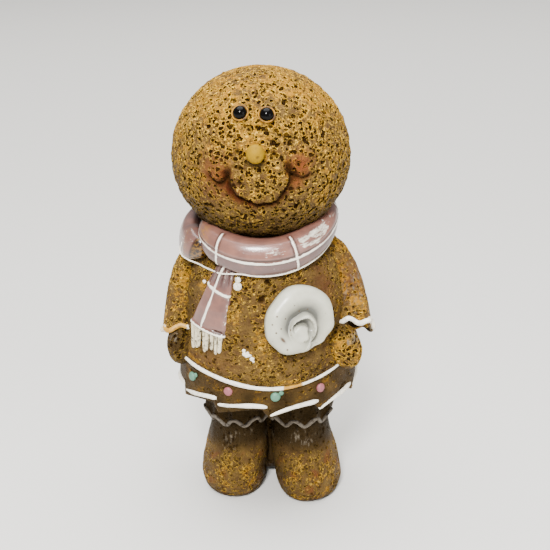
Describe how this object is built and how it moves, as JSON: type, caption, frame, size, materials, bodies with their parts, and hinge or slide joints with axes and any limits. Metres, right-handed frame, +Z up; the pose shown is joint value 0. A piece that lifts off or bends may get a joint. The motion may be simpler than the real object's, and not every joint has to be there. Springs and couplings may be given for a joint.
{
  "type": "gingerbread figurine",
  "caption": "Standing gingerbread child in painted cast resin: ball head on a bell-shaped dress, wound scarf with fringed ends, and a swirl sweet at one hand.",
  "frame": {"origin": "centre of the outline box at its base, on the floor under the soles", "axes": "+Z up; the figure faces -Y; +X to the viewer's right when it is seen from the front"},
  "size_m": [0.0632, 0.0578, 0.1297],
  "materials": {
    "head": "matte",
    "body": "matte",
    "scarf": "satin",
    "scarf_tail_front": "satin",
    "scarf_tail_back": "satin",
    "swirl_sweet": "satin",
    "eye_left": "gloss",
    "eye_right": "gloss"
  },
  "bodies": {
    "root": {"head": "head", "body": "body", "scarf": "scarf", "scarf_tail_front": "scarf_tail_front", "scarf_tail_back": "scarf_tail_back", "swirl_sweet": "swirl_sweet", "eye_left": "eye_left", "eye_right": "eye_right"}
  },
  "joints": []
}
